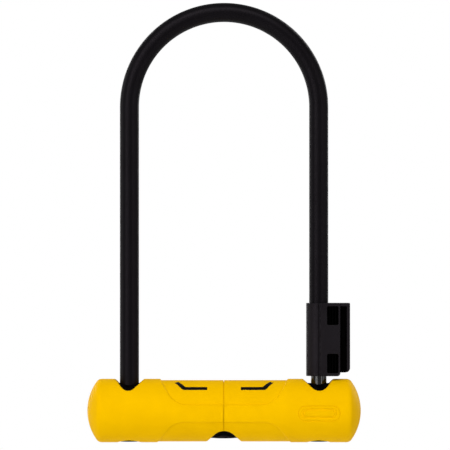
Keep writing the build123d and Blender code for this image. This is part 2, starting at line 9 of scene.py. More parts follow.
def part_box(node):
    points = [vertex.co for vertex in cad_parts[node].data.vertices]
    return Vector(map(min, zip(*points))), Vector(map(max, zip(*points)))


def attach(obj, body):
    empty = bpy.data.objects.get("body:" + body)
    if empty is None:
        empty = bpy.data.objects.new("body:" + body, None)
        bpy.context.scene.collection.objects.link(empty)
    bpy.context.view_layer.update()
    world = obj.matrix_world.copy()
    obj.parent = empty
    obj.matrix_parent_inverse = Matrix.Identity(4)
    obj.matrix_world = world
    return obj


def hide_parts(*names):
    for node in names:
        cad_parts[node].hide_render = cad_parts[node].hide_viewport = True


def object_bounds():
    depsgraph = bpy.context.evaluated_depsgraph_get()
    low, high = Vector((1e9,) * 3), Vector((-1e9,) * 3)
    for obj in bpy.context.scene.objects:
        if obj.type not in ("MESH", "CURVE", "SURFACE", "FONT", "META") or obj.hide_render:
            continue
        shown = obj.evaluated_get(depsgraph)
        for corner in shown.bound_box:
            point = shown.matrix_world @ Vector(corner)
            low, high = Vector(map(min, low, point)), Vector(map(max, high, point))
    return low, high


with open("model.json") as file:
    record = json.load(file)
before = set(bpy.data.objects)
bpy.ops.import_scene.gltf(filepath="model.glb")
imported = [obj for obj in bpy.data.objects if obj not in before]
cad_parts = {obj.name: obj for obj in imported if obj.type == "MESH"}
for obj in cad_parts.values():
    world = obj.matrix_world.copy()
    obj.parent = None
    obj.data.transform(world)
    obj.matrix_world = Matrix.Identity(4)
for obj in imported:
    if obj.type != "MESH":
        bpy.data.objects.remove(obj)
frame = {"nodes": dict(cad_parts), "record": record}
CAD_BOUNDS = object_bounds()
NODES = frame["nodes"]

# --- measures taken from the frame: mm, with Z counted from the crossbar's axis ---
MM = 0.001
AXIS_Z_M = sum(corner.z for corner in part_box("left_cover")) / 2


def limits(node):
    """A node's limits in mm, as three (low, high) pairs."""
    low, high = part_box(node)
    base = (0, 0, AXIS_Z_M)
    return [((low[i] - base[i]) / MM, (high[i] - base[i]) / MM) for i in range(3)]


COVER_R = limits("left_cover")[2][1]
COVER_END = -limits("left_cover")[0][0]
SEAM = {-1: limits("left_cover")[0][1], 1: limits("right_cover")[0][0]}
LINER_R = limits("liner_sleeve")[2][1]
CORE_R = limits("shackle_bar")[1][1]
LEG_X = limits("shackle_bar")[0][1] - CORE_R
LEG_END_Z = limits("shackle_bar")[2][0]
COAT_R = limits("coating")[1][1]
ARCH_Z = limits("coating")[2][1] - COAT_R - LEG_X
COAT_LEFT_END = limits("coating")[2][0]
BASE_PLUG_R = limits("left_base_plug")[1][1]
BASE_PLUG_Z = limits("left_base_plug")[2]
BEZEL_R = limits("keyway_bezel")[1][1]
BEZEL_Z = limits("keyway_bezel")[2]
BADGE_X = sum(limits("badge")[0]) / 2
BADGE_Z = sum(limits("badge")[2]) / 2
BADGE_LENGTH = limits("badge")[0][1] - limits("badge")[0][0]
BADGE_HEIGHT = limits("badge")[2][1] - limits("badge")[2][0]
ADAPTER_Z = limits("adapter_front")[2]
SLEEVE_R = LEG_X - limits("adapter_front")[0][0]
BODY_X = limits("adapter_front")[0][1] - LEG_X
RAIL_Z = limits("adapter_rail")[2]
RAIL_X = limits("adapter_rail")[0][1] - LEG_X
GRIP_R = limits("adapter_grip")[1][1]

# --- driving dimensions that the frame's limits don't give, mm ---
FIT = 0.05
RUNNING_GAP = 0.3
DOME_R = 32.1
DOME_FILLET = 4.0
COVER_BORE_R = LINER_R + FIT
COVER_BORE_END = 81.0
PANEL_TOP_R = 19.5
PANEL_BOTTOM_R = 19.8
PANEL_TOP = {"edge_z": 4.4, "corner_x": 31.4, "end_x": 41.0, "bend": 14.5, "floor_r": PANEL_TOP_R}
PANEL_BOTTOM = {"edge_z": -6.6, "corner_x": 32.2, "end_x": 42.8, "bend": 14.0, "floor_r": PANEL_BOTTOM_R}
NOTCH_BEND = 9.0
NOTCH_TOP_Z = -12.4
INLAY_WIDTH = 2.9
INLAY_INNER_X = 10.8
INLAY_CORNER_X = 25.5
INLAY_END_X = 30.5
INLAY_HALF_SPAN = 3.7
INLAY_TILT_DEG = 60.5
INLAY_SINK = 0.08
SCOOP_SHIFT = {-1: -0.5, 1: 0.2}
SCOOP_BEND = {-1: 5.5, 1: 6.6}
SCOOP_LOWEST_Z = 13.2
SCOOP_INNER_DEG = 42.0
SCOOP_OUTER_DEG = 50.0
SCOOP_SHOULDER = 2.2
BADGE_FLOOR_R = 19.5
BADGE_BORDER = 1.5
BADGE_LINE = 0.8
BADGE_FIELD = (20.4, 4.8)
BADGE_FIELD_LINE = 0.7
BADGE_LINE_DEPTH = 0.35
PLUG_SOCKET_Z = -11.6
COAT_RIGHT_END = 25.0
BOLT_R = 4.5
SEAM_SPARE = 1.5
SEAM_FLOOR_R = 18.6
SEAM_WIDER = 0.06
COVER_VOXEL = 0.32
FINE_VOXEL = 0.16
FAR = 60.0


# --- mesh tools ---

def mesh_object(name, points, faces):
    """A new object from points and faces, with its normals facing out."""
    mesh = bpy.data.meshes.new(name)
    mesh.from_pydata([tuple(p) for p in points], [], faces)
    work = bmesh.new()
    work.from_mesh(mesh)
    bmesh.ops.recalc_face_normals(work, faces=work.faces)
    work.to_mesh(mesh)
    work.free()
    obj = bpy.data.objects.new(name, mesh)
    bpy.context.scene.collection.objects.link(obj)
    return obj


def rounded(corners, radii, steps=8):
    """A closed outline with an arc at each corner that has a radius."""
    outline = []
    for i, corner in enumerate(corners):
        here = Vector(corner)
        if not radii[i]:
            outline.append(here)
            continue
        before = (Vector(corners[i - 1]) - here).normalized()
        after = (Vector(corners[(i + 1) % len(corners)]) - here).normalized()
        half = before.angle(after) / 2
        centre = here + (before + after).normalized() * radii[i] / math.sin(half)
        start = here + before * radii[i] / math.tan(half) - centre
        end = here + after * radii[i] / math.tan(half) - centre
        first = math.atan2(start.y, start.x)
        turn = (math.atan2(end.y, end.x) - first + math.pi) % math.tau - math.pi
        for step in range(steps + 1):
            angle = first + turn * step / steps
            outline.append(centre + radii[i] * Vector((math.cos(angle), math.sin(angle))))
    return outline


def prism(outline, low, high, place):
    """A closed prism: place(u, v, t) gives the point for each outline point at t = low and t = high."""
    count = len(outline)
    points = [place(u, v, t) for t in (low, high) for u, v in outline]
    faces = [list(range(count)), list(range(count, 2 * count))]
    faces += [[i, (i + 1) % count, count + (i + 1) % count, count + i] for i in range(count)]
    return mesh_object("prism", points, faces)


def along_y(u, v, t):
    return (u, t, v)


def along_z(u, v, t):
    return (u, v, t)


def block(x, y, z):
    """A box between two limits on each axis."""
    return prism([(x[0], y[0]), (x[1], y[0]), (x[1], y[1]), (x[0], y[1])], z[0], z[1], along_z)


def circle(radius, centre=(0, 0), count=96):
    """The points of a circle."""
    turns = [math.tau * i / count for i in range(count)]
    return [(centre[0] + radius * math.cos(a), centre[1] + radius * math.sin(a)) for a in turns]


def x_bar(radius, x0, x1):
    return prism(circle(radius, count=180), x0, x1, lambda u, v, t: (t, u, v))


def y_bar(radius, x, z, y0, y1):
    return prism(circle(radius, (x, z), 48), y0, y1, along_y)


def z_bar(radius, x, z0, z1):
    return prism(circle(radius, (x, 0)), z0, z1, along_z)


def turned(profile, place, count, closed):
    """A turned shape; place(along, radius, angle) gives each point, and radius 0 is one point."""
    rings, points = [], []
    for along, radius in profile:
        first = len(points)
        if radius < 1e-6:
            points.append(place(along, 0, 0))
            rings.append([first])
            continue
        points += [place(along, radius, math.tau * i / count) for i in range(count)]
        rings.append(list(range(first, first + count)))
    faces = []
    pairs = list(zip(rings, rings[1:])) + ([(rings[-1], rings[0])] if closed else [])
    for a, b in pairs:
        for i in range(count):
            j = (i + 1) % count
            corners = [a[i % len(a)], a[j % len(a)], b[j % len(b)], b[i % len(b)]]
            faces.append(list(dict.fromkeys(corners)))
    return mesh_object("turned", points, faces)


def about_x(along, radius, angle):
    return (along, radius * math.cos(angle), radius * math.sin(angle))


def about_leg(side):
    """Turned about a leg's axis."""
    def place(along, radius, angle):
        return (side * LEG_X + radius * math.cos(angle), radius * math.sin(angle), along)

    return place


def about_z(along, radius, angle):
    return (radius * math.cos(angle), radius * math.sin(angle), along)


def apply_modifiers(obj):
    """Make the modifiers' result the object's own mesh."""
    shown = obj.evaluated_get(bpy.context.evaluated_depsgraph_get())
    mesh = bpy.data.meshes.new_from_object(shown)
    obj.modifiers.clear()
    old = obj.data
    obj.data = mesh
    bpy.data.meshes.remove(old)
    return obj


def combine(obj, operation, *others):
    """Boolean difference, union or intersection; the other objects are used up."""
    for other in others:
        modifier = obj.modifiers.new("combine", "BOOLEAN")
        modifier.operation = operation
        modifier.solver = "EXACT"
        modifier.object = other
    apply_modifiers(obj)
    for other in others:
        bpy.data.objects.remove(other)
    return obj


def cut(obj, *others):
    return combine(obj, "DIFFERENCE", *others)


def join(obj, *others):
    return combine(obj, "UNION", *others)


def keep(obj, other):
    return combine(obj, "INTERSECT", other)


def soften(obj, voxel, passes=4):
    """Rebuild the surface as an even net and round its edges a little."""
    remesh = obj.modifiers.new("net", "REMESH")
    remesh.mode = "VOXEL"
    remesh.voxel_size = voxel
    remesh.adaptivity = 0.0
    smooth = obj.modifiers.new("round", "SMOOTH")
    smooth.factor = 0.5
    smooth.iterations = passes
    return apply_modifiers(obj)


def place_piece(obj, name, body, material, slot, *nodes, sharp_deg=None):
    """Move a finished shape into the frame, name it, give it its material and body, and hide the CAD
    nodes it replaces.
    """
    obj.data.transform(Matrix.Translation((0, 0, AXIS_Z_M)) @ Matrix.Scale(MM, 4))
    obj.name = name
    obj.data.name = name
    obj.data.materials.clear()
    obj.data.materials.append(material)
    obj.data.shade_smooth()
    if sharp_deg:
        obj.data.set_sharp_from_angle(angle=math.radians(sharp_deg))
    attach(obj, body)
    if nodes:
        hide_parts(*nodes)
    return obj


# --- material tools ---

class Graph:
    """A material's node tree, with short ways to add and join nodes."""

    def __init__(self, name):
        self.material = bpy.data.materials.new(name)
        self.material.use_nodes = True
        self.tree = self.material.node_tree
        self.shader = self.tree.nodes["Principled BSDF"]
        self.place = self.tree.nodes.new("ShaderNodeTexCoord").outputs["Object"]

    def node(self, kind, **inputs):
        made = self.tree.nodes.new(kind)
        for key, value in inputs.items():
            self.put(made.inputs[key.replace("_", " ")], value)
        return made

    def put(self, socket, value):
        if isinstance(value, bpy.types.NodeSocket):
            self.tree.links.new(value, socket)
        else:
            socket.default_value = value

    def set(self, **inputs):
        for key, value in inputs.items():
            self.put(self.shader.inputs[key.replace("_", " ")], value)

    def stretched(self, scale):
        """The place, stretched by a scale on each axis."""
        return self.node("ShaderNodeMapping", Vector=self.place, Scale=scale).outputs["Vector"]

    def noise(self, scale, detail=3.0, roughness=0.55, vector=None):
        made = self.node("ShaderNodeTexNoise", Vector=vector or self.place, Scale=scale)
        made.inputs["Detail"].default_value = detail
        made.inputs["Roughness"].default_value = roughness
        return made.outputs["Fac"]

    def span(self, source, low, high, to_low, to_high):
        """Map a range of a value onto another range."""
        made = self.node("ShaderNodeMapRange", Value=source)
        limits_of_map = (("From Min", low), ("From Max", high), ("To Min", to_low), ("To Max", to_high))
        for key, value in limits_of_map:
            made.inputs[key].default_value = value
        return made.outputs["Result"]

    def ramp(self, source, *stops):
        """Map a value onto colours, given as (position, colour)."""
        made = self.node("ShaderNodeValToRGB", Fac=source)
        elements = made.color_ramp.elements
        while len(elements) < len(stops):
            elements.new(0.5)
        for element, (position, colour) in zip(elements, stops):
            element.position = position
            element.color = (*colour, 1)
        return made.outputs["Color"]

    def bump(self, height, distance, normal=None):
        """A bump of a given depth in mm; a second one can be laid over a first."""
        made = self.node("ShaderNodeBump", Height=height, Distance=distance * MM, Strength=1.0)
        if normal:
            self.put(made.inputs["Normal"], normal)
        return made.outputs["Normal"]

    def edges(self, low, high):
        """0 on flat faces to 1 on outward edges."""
        geometry = self.tree.nodes.new("ShaderNodeNewGeometry")
        return self.span(geometry.outputs["Pointiness"], low, high, 0.0, 1.0)

    def math(self, operation, first, second):
        made = self.tree.nodes.new("ShaderNodeMath")
        made.operation = operation
        self.put(made.inputs[0], first)
        self.put(made.inputs[1], second)
        return made.outputs["Value"]

    def blend(self, factor, first, second):
        """Colour going from first to second as the factor goes from 0 to 1."""
        made = self.tree.nodes.new("ShaderNodeMix")
        made.data_type = "RGBA"
        factor_at, first_at, second_at, colour_out = 0, 6, 7, 2
        for socket, value in ((factor_at, factor), (first_at, first), (second_at, second)):
            self.put(made.inputs[socket], (*value, 1) if isinstance(value, tuple) else value)
        return made.outputs[colour_out]


def per_mm(count):
    """A texture scale that gives this many features in 1 mm."""
    return count / MM


def plastic_graph(name, tones, roughness, grain, specular, wave_depth=0.0, tint=(1, 1, 1)):
    """A moulded plastic: slow colour change, uneven sheen, fine grain, rubbed edges and faint scuffs."""
    dark, light, worn = tones
    grain_mm, grain_depth = grain
    graph = Graph(name)
    slow = graph.noise(per_mm(0.05), detail=4.0)
    base = graph.ramp(slow, (0.36, dark), (0.64, light))
    patches = graph.span(graph.noise(per_mm(0.4), detail=4.0), 0.42, 0.6, 0.0, 0.8)
    rubbed = graph.math("MULTIPLY", graph.edges(0.53, 0.62), patches)
    graph.set(Base_Color=graph.blend(rubbed, base, worn))
    sheen = graph.span(graph.noise(per_mm(0.35), detail=5.0, roughness=0.65), 0.3, 0.7, *roughness)
    scuff = graph.noise(per_mm(0.6), detail=2.0, vector=graph.stretched((0.25, 0.25, 2.5)))
    graph.set(Roughness=graph.math("ADD", sheen, graph.span(scuff, 0.62, 0.72, 0.0, 0.12)))
    graph.set(Specular_IOR_Level=specular, Specular_Tint=(*tint, 1))
    normal = None
    if wave_depth:
        normal = graph.bump(graph.noise(per_mm(0.12), detail=1.0), wave_depth)
    graph.set(Normal=graph.bump(graph.noise(per_mm(1 / grain_mm), detail=2.0), grain_depth, normal))
    return graph


def plastic(name, *looks, **more):
    """The material alone."""
    return plastic_graph(name, *looks, **more).material


def clamp_plastic(name, tones, roughness, grain, specular):
    """The clamp's plastic, with painted shade in its windows and the rail's groove: there the base
    colour goes to near black and the sheen is taken out.
    """
    graph = plastic_graph(name, tones, roughness, grain, specular, tint=COOL_SHEEN)
    parts = graph.node("ShaderNodeSeparateXYZ", Vector=graph.place).outputs
    depth = graph.math("ABSOLUTE", parts["Y"], 0.0)
    inside = graph.span(depth, (SLEEVE_R - 1.6) * MM, (SLEEVE_R - 0.5) * MM, 1.0, 0.0)
    past_sleeve = graph.span(parts["X"], (LEG_X + 3.5) * MM, (LEG_X + 4.5) * MM, 0.0, 1.0)
    flange_face = LEG_X + RAIL_X
    before_flange = graph.span(parts["X"], (flange_face - 0.6) * MM, (flange_face - 0.3) * MM, 1.0, 0.0)
    top = AXIS_Z_M + (ADAPTER_Z[1] - 1.2) * MM
    below_top = graph.span(parts["Z"], top, top + 0.4 * MM, 1.0, 0.0)
    # painted shade: the mask of the windows and the groove, where the colour is darkened and the sheen
    # removed
    painted_recess_shade = inside
    for limit in (past_sleeve, before_flange, below_top):
        painted_recess_shade = graph.math("MULTIPLY", painted_recess_shade, limit)
    graph.set(Specular_IOR_Level=graph.span(painted_recess_shade, 0.0, 1.0, specular, 0.01))
    surface = graph.shader.inputs["Base Color"].links[0].from_socket
    # painted shade: the base colour blends to the near-black shade tone inside the recesses
    graph.set(Base_Color=graph.blend(painted_recess_shade, surface, PAINTED_SHADE_TONES[0]))
    return graph.material


def metal(name, dark, light, roughness, stretch, line_depth):
    """A machined metal: slow colour change, uneven sheen and fine lines across the stretched axes."""
    graph = Graph(name)
    slow = graph.noise(per_mm(0.15), detail=4.0)
    graph.set(Base_Color=graph.ramp(slow, (0.35, dark), (0.65, light)), Metallic=1.0)
    lines = graph.noise(per_mm(1.0), detail=3.0, vector=graph.stretched(stretch))
    graph.set(Roughness=graph.span(lines, 0.3, 0.7, *roughness))
    graph.set(Normal=graph.bump(lines, line_depth))
    return graph.material


YELLOW_TONES = ((0.86, 0.475, 0.0), (0.9, 0.505, 0.0), (0.92, 0.56, 0.01))
BLACK_TONES = ((0.0049, 0.0042, 0.005), (0.007, 0.006, 0.0072), (0.02, 0.019, 0.021))
GLOSS_TONES = ((0.0012, 0.0011, 0.001), (0.002, 0.0018, 0.0016), (0.004, 0.004, 0.004))
VINYL_TONES = ((0.0016, 0.0014, 0.0018), (0.0024, 0.0021, 0.0027), (0.012, 0.012, 0.013))
RUBBER_TONES = ((0.002, 0.002, 0.002), (0.003, 0.003, 0.003), (0.01, 0.01, 0.01))
# painted shade: near-black tones for parts that sit in shade down in holes and recesses
PAINTED_SHADE_TONES = ((0.0006, 0.0005, 0.0005), (0.001, 0.0009, 0.0009), (0.004, 0.004, 0.004))
BLACKED_TONES = ((0.002, 0.002, 0.0022), (0.0035, 0.0034, 0.0034), (0.03, 0.03, 0.031))

COOL_SHEEN = (1.0, 0.86, 1.0)
WARM_SHEEN = (1, 0.72, 0.1)

YELLOW = plastic("yellow_plastic", YELLOW_TONES, (0.42, 0.52), (0.35, 0.003), 0.02, tint=WARM_SHEEN)
BLACK = plastic("black_plastic", BLACK_TONES, (0.42, 0.55), (0.3, 0.012), 0.12, tint=COOL_SHEEN)
INLAY = plastic("gloss_black_plastic", GLOSS_TONES, (0.16, 0.28), (0.5, 0.002), 0.15)
VINYL = plastic("vinyl_coat", VINYL_TONES, (0.36, 0.46), (0.4, 0.01), 0.09, 0.04, tint=COOL_SHEEN)
CLAMP = clamp_plastic("clamp_plastic", BLACK_TONES, (0.42, 0.55), (0.3, 0.012), 0.12)
# a darker, duller copy of the black plastic, as painted shade
PAINTED_SHADE_BLACK = plastic("painted_shade_plastic", PAINTED_SHADE_TONES, (0.6, 0.75), (0.3, 0.012), 0.01)
RUBBER = plastic("black_rubber", RUBBER_TONES, (0.7, 0.85), (0.3, 0.02), 0.1)
BLACK_STEEL = plastic("blackened_steel", BLACKED_TONES, (0.06, 0.11), (0.8, 0.002), 0.6)
STEEL = metal("hardened_steel", (0.36, 0.36, 0.37), (0.5, 0.5, 0.51), (0.24, 0.42), (4, 0.3, 0.3), 0.004)
ZINC = metal("zinc_steel", (0.5, 0.5, 0.47), (0.66, 0.65, 0.6), (0.25, 0.4), (1, 1, 1), 0.003)
BRASS = metal("brass", (0.62, 0.42, 0.16), (0.74, 0.53, 0.24), (0.22, 0.36), (0.4, 0.4, 5), 0.004)

MATERIALS = {
    "yellow_plastic": YELLOW,
    "black_plastic": BLACK,
    "gloss_black_plastic": INLAY,
    "vinyl_coat": VINYL,
    "black_rubber": RUBBER,
    "blackened_steel": BLACK_STEEL,
    "hardened_steel": STEEL,
    "zinc_steel": ZINC,
    "brass": BRASS,
}


# --- crossbar covers ---

def cover_profile(side):
    """One half's outline: the dome, the outside, the seam's side, the bore and its inner end."""
    centre = COVER_END - DOME_R
    fillet_centre_r = COVER_R - DOME_FILLET
    fillet_x = centre + math.sqrt((DOME_R - DOME_FILLET) ** 2 - fillet_centre_r ** 2)
    meet = math.atan2(fillet_centre_r, fillet_x - centre)
    dome_steps, fillet_steps = 24, 10
    profile = []
    for i in range(dome_steps + 1):
        angle = meet * i / dome_steps
        profile.append((centre + DOME_R * math.cos(angle), DOME_R * math.sin(angle)))
    for i in range(1, fillet_steps + 1):
        angle = meet + (math.pi / 2 - meet) * i / fillet_steps
        radius = fillet_centre_r + DOME_FILLET * math.sin(angle)
        profile.append((fillet_x + DOME_FILLET * math.cos(angle), radius))
    seam = side * SEAM[side] - SEAM_SPARE
    profile += [(seam, COVER_R), (seam, COVER_BORE_R)]
    profile += [(COVER_BORE_END, COVER_BORE_R), (COVER_BORE_END, 0)]
    return [(side * x, radius) for x, radius in profile]


def waist_panel(edge_z, corner_x, end_x, bend, floor_r):
    """The cutter for one shallow panel: outside the floor's radius, within the panel's outline."""
    way = math.copysign(1.0, edge_z)
    top = way * (COVER_R + 10)
    corners = [
        (-corner_x, edge_z),
        (corner_x, edge_z),
        (end_x, way * COVER_R),
        (end_x, top),
        (-end_x, top),
        (-end_x, way * COVER_R),
    ]
    outline = rounded(corners, [bend, bend, 0, 0, 0, 0], 16)
    return cut(prism(outline, -FAR, FAR, along_y), x_bar(floor_r, -FAR, FAR))


def scoop(side):
    """The cutter for the dip that a leg stands in, with a soft shoulder at its outer rim."""
    centre_x, bend, lowest = side * LEG_X + SCOOP_SHIFT[side], SCOOP_BEND[side], SCOOP_LOWEST_Z
    inner, outer = math.radians(SCOOP_INNER_DEG), math.radians(SCOOP_OUTER_DEG)
    centre_z = lowest + bend
    sines = 1 / math.sin(inner) + 1 / math.sin(outer)
    drop = bend * sines / (1 / math.tan(inner) + 1 / math.tan(outer))
    apex = (((bend - drop * math.cos(inner)) / math.sin(inner)), centre_z - drop)
    rise = COVER_R - apex[1]
    rim, top, shoulder = COVER_R + 0.05, COVER_R + 6, SCOOP_SHOULDER
    inner_top = apex[0] + (top - apex[1]) / math.tan(inner)
    outer_rim = apex[0] - (rise + 0.05) / math.tan(outer)
    corners = [(inner_top, top), apex, (outer_rim, rim)]
    corners += [(outer_rim - 6, rim + 0.2), (outer_rim - 6, top)]
    flipped = [(centre_x - side * x, z) for x, z in corners]
    return prism(rounded(flipped, [0, bend, shoulder, 0, 0], 16), -FAR, FAR, along_y)


def key_notch():
    """The cutter for the flared arch under the middle."""
    deep = 25.0
    apex_z = NOTCH_TOP_Z - NOTCH_BEND + NOTCH_BEND * math.sqrt(2)
    corners = [(0, apex_z), (deep, apex_z - deep), (-deep, apex_z - deep)]
    return prism(rounded(corners, [NOTCH_BEND, 0, 0], 24), -FAR, FAR, along_y)


def inlay_strip(width, inner_x, side, back):
    """One bent strip, standing on the tangent plane where it lies."""
    span = INLAY_HALF_SPAN
    slope = math.atan2(2 * span, INLAY_END_X - INLAY_CORNER_X)
    half = width / 2
    mitre = half * math.tan(slope / 2)
    across = (half * math.sin(slope), half * math.cos(slope))
    corners = [
        (inner_x, -span - half),
        (INLAY_CORNER_X + mitre, -span - half),
        (INLAY_END_X + across[0], span - across[1]),
        (INLAY_END_X - across[0], span + across[1]),
        (INLAY_CORNER_X - mitre, -span + half),
        (inner_x, -span + half),
    ]
    tilt = math.radians(INLAY_TILT_DEG)

    def place(u, v, t):
        y = -t * math.cos(tilt) + v * math.sin(tilt)
        return (side * u, -y if back else y, t * math.sin(tilt) + v * math.cos(tilt))

    end_bend, outer_bend, inner_bend = 0.25, 2.6, 1.2
    bends = [end_bend, outer_bend, end_bend, end_bend, inner_bend, end_bend]
    return prism(rounded(corners, bends), LINER_R - 4, COVER_R + 2, place)


def inlay_strips(width, inner_x, sides=(-1, 1)):
    return [inlay_strip(width, inner_x, side, back) for side in sides for back in (False, True)]


def pill(length, height, y0, y1):
    """A pill-shaped prism at the badge's place."""
    reach = (length - height) / 2
    steps, radius = 24, height / 2
    half_turn = [math.pi * i / steps - math.pi / 2 for i in range(steps + 1)]
    right_x = BADGE_X + reach
    right = [(right_x + radius * math.cos(a), BADGE_Z + radius * math.sin(a)) for a in half_turn]
    left = [(2 * BADGE_X - x, 2 * BADGE_Z - z) for x, z in right]
    return prism(right + left, y0, y1, along_y)


def cover(side):
    """One yellow half, with its panel, scoop, notch, inlay slots and holes."""
    shell = turned(cover_profile(side), about_x, 220, closed=False)
    cutters = [
        waist_panel(**PANEL_TOP),
        waist_panel(**PANEL_BOTTOM),
        scoop(side),
        key_notch(),
        z_bar(BEZEL_R + RUNNING_GAP, 0, -FAR, 0),
        z_bar(BASE_PLUG_R + 0.08, side * LEG_X, -FAR, 0),
    ]
    cutters += inlay_strips(INLAY_WIDTH, INLAY_INNER_X, (side,))
    if side > 0:
        pocket = pill(BADGE_LENGTH + 2 * FIT, BADGE_HEIGHT + 2 * FIT, -FAR, 0)
        cutters.append(cut(pocket, x_bar(BADGE_FLOOR_R, 0, 2 * FAR)))
    shell = soften(cut(shell, *cutters), COVER_VOXEL)
    middle = (SEAM[-1] + SEAM[1]) / 2
    joint = middle + side * 0.01
    cut(shell, block(sorted((joint, -side * FAR)), (-FAR, FAR), (-FAR, FAR)))
    groove_end = SEAM[side] + side * SEAM_WIDER
    groove = x_bar(COVER_R + 2, *sorted((middle - side, groove_end)))
    cut(shell, cut(groove, x_bar(SEAM_FLOOR_R, -FAR, FAR)))
    name = "right_cover_shell" if side > 0 else "left_cover_shell"
    node = "right_cover" if side > 0 else "left_cover"
    return place_piece(shell, name, "crossbar", YELLOW, "yellow_plastic", node, sharp_deg=50)


def inlays():
    """The four black strips in the covers."""
    gap = 0.06
    strips = inlay_strips(INLAY_WIDTH - 2 * gap, INLAY_INNER_X + gap)
    names = ("left_front", "left_back", "right_front", "right_back")
    for name, strip in zip(names, strips):
        outside = x_bar(PANEL_TOP_R - INLAY_SINK, -FAR, FAR)
        shape = cut(keep(strip, outside), x_bar(LINER_R + FIT, -FAR, FAR))
        soften(shape, FINE_VOXEL)
        place_piece(shape, f"inlay_{name}", "crossbar", INLAY, "gloss_black_plastic", "accent_inlays")


def badge():
    """The blank outlined pill on the right cover, with a plain outlined field inside it."""
    sink = 0.03
    plate = keep(pill(BADGE_LENGTH, BADGE_HEIGHT, -FAR, 0), x_bar(COVER_R - sink, 0, 2 * FAR))
    plate = cut(plate, x_bar(BADGE_FLOOR_R + FIT, 0, 2 * FAR))
    grooves = []
    for length, height, line in (
        (BADGE_LENGTH - 2 * BADGE_BORDER, BADGE_HEIGHT - 2 * BADGE_BORDER, BADGE_LINE),
        (*BADGE_FIELD, BADGE_FIELD_LINE),
    ):
        outer = pill(length, height, -FAR, 0)
        inner = pill(length - 2 * line, height - 2 * line, -FAR - 1, 1)
        grooves.append(cut(outer, inner, x_bar(COVER_R - BADGE_LINE_DEPTH, 0, 2 * FAR)))
    plate = soften(cut(plate, *grooves), FINE_VOXEL, 3)
    place_piece(plate, "badge_pill", "crossbar", YELLOW, "yellow_plastic", "badge")


def base_plugs():
    """The round black plugs under the legs, each with a shallow dish and a moulding mark."""
    low, high = BASE_PLUG_Z
    edge, dish_r, dish_depth, mark_r = 0.5, 5.2, 0.45, 1.1
    socket_r, arc_steps = CORE_R + RUNNING_GAP, 6
    profile = [
        (low + dish_depth - 0.15, 0),
        (low + dish_depth - 0.15, mark_r - 0.1),
        (low + dish_depth, mark_r),
        (low + dish_depth, dish_r - 0.3),
        (low + dish_depth - 0.1, dish_r - 0.1),
        (low + 0.1, dish_r + 0.1),
        (low, dish_r + 0.3),
    ]
    for i in range(arc_steps + 1):
        angle = math.pi / 2 * i / arc_steps
        rim_r = BASE_PLUG_R - edge + edge * math.sin(angle)
        profile.append((low + edge - edge * math.cos(angle), rim_r))
    profile += [(high, BASE_PLUG_R), (high, socket_r), (PLUG_SOCKET_Z, socket_r), (PLUG_SOCKET_Z, 0)]
    for side, name in ((-1, "left"), (1, "right")):
        plug = turned(profile, about_leg(side), 96, closed=False)
        node = f"{name}_base_plug"
        place_piece(plug, f"{name}_plug_face", "crossbar", BLACK, "black_plastic", node, sharp_deg=40)


def bezel():
    """The black cap over the barrel's nose, with a soft rim and a flared mouth for the key."""
    low, high = BEZEL_Z
    mouth, edge, wall, floor, arc_steps = 4.2, 0.4, 0.65, 1.28, 6
    profile = [(low + floor, BEZEL_R - wall), (high, BEZEL_R - wall), (high, BEZEL_R)]
    angles = [math.pi / 2 * i / arc_steps for i in range(arc_steps + 1)]
    for angle in angles:
        profile.append((low + edge - edge * math.sin(angle), BEZEL_R - edge + edge * math.cos(angle)))
    for angle in angles:
        profile.append((low + edge - edge * math.cos(angle), mouth + edge - edge * math.sin(angle)))
    profile.append((low + floor, mouth))
    cap = turned(profile, about_z, 96, closed=True)
    place_piece(cap, "keyway_cap", "crossbar", BLACK, "black_plastic", "keyway_bezel", sharp_deg=40)


# --- shackle ---

SHACKLE_STEP = 1.5
SHACKLE_SIDES = 64


def about_shackle(along, radius, angle):
    """Turned about the shackle's centreline; along is the height up the left leg, then over the arch."""
    arch_length = math.pi * LEG_X
    out, side = radius * math.cos(angle), radius * math.sin(angle)
    if along <= ARCH_Z:
        return (-LEG_X - out, side, along)
    if along >= ARCH_Z + arch_length:
        return (LEG_X + out, side, 2 * ARCH_Z + arch_length - along)
    turn = math.pi - (along - ARCH_Z) / LEG_X
    return ((LEG_X + out) * math.cos(turn), side, ARCH_Z + (LEG_X + out) * math.sin(turn))


def divided(profile, step):
    """The same profile with points added along its long stretches."""
    made = []
    for (a0, r0), (a1, r1) in zip(profile, profile[1:]):
        count = max(1, round(abs(a1 - a0) / step))
        made += [(a0 + (a1 - a0) * i / count, r0 + (r1 - r0) * i / count) for i in range(count)]
    return made + [profile[-1]]


def right_leg(z):
    """How far along the shackle a height on the right leg is."""
    return 2 * ARCH_Z + math.pi * LEG_X - z


def coat():
    """The vinyl sleeve, with soft lips at both ends."""
    start, end, lip = COAT_LEFT_END, right_leg(COAT_RIGHT_END), 0.45
    inner = CORE_R + 0.02
    turn = lip * 0.3
    outer_run = [(start, COAT_R - lip), (start + turn, COAT_R - turn), (start + lip, COAT_R)]
    outer_run += [(end - lip, COAT_R), (end - turn, COAT_R - turn), (end, COAT_R - lip)]
    profile = divided(outer_run + [(end, inner)], SHACKLE_STEP)
    profile += divided([(end, inner), (start, inner)], SHACKLE_STEP)[1:]
    sleeve = turned(profile, about_shackle, SHACKLE_SIDES, closed=True)
    place_piece(sleeve, "vinyl_sleeve", "shackle", VINYL, "vinyl_coat", "coating", sharp_deg=50)


